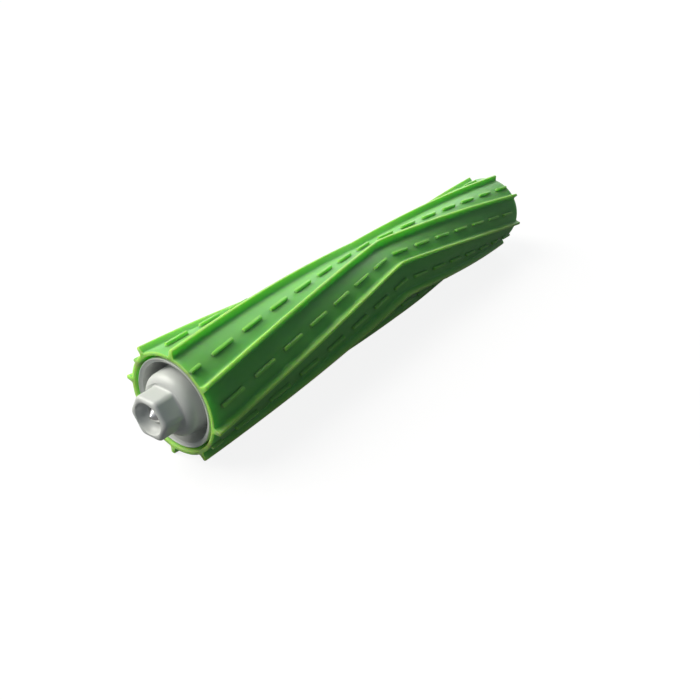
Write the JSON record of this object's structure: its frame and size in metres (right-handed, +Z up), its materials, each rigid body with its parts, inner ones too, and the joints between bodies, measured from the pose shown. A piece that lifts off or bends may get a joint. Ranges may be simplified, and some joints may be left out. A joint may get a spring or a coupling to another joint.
{
  "type": "robot vacuum roller brush",
  "caption": "Roller brush for a robot vacuum: rubber sleeve with chevron vanes and rows of short ribs on a core and steel axle, with a drive hub and a hex-pegged bearing cap.",
  "frame": {"origin": "on the spin axis, halfway along the roller", "axes": "+Y along the spin axis from the bearing cap towards the drive hub, +Z up"},
  "size_m": [0.0326, 0.1992, 0.0326],
  "materials": {
    "sleeve_rubber": "satin moulded rubber, bright green",
    "core_plastic": "plain moulded plastic",
    "axle_steel": "ground steel",
    "hub_plastic": "satin light grey plastic",
    "cap_plastic": "satin light grey plastic",
    "bush_bronze": "sintered bronze"
  },
  "bodies": {
    "roller": {"rubber_sleeve": "sleeve_rubber", "core": "core_plastic", "axle": "axle_steel", "drive_hub": "hub_plastic"},
    "cap": {"bearing_cap": "cap_plastic", "bearing_bush": "bush_bronze"}
  },
  "joints": [
    {"name": "cap_spin", "type": "hinge", "parent": "roller", "child": "cap", "pos_m": [0, -0.0868, 0], "axis": [0, 1, 0], "continuous": true}
  ]
}
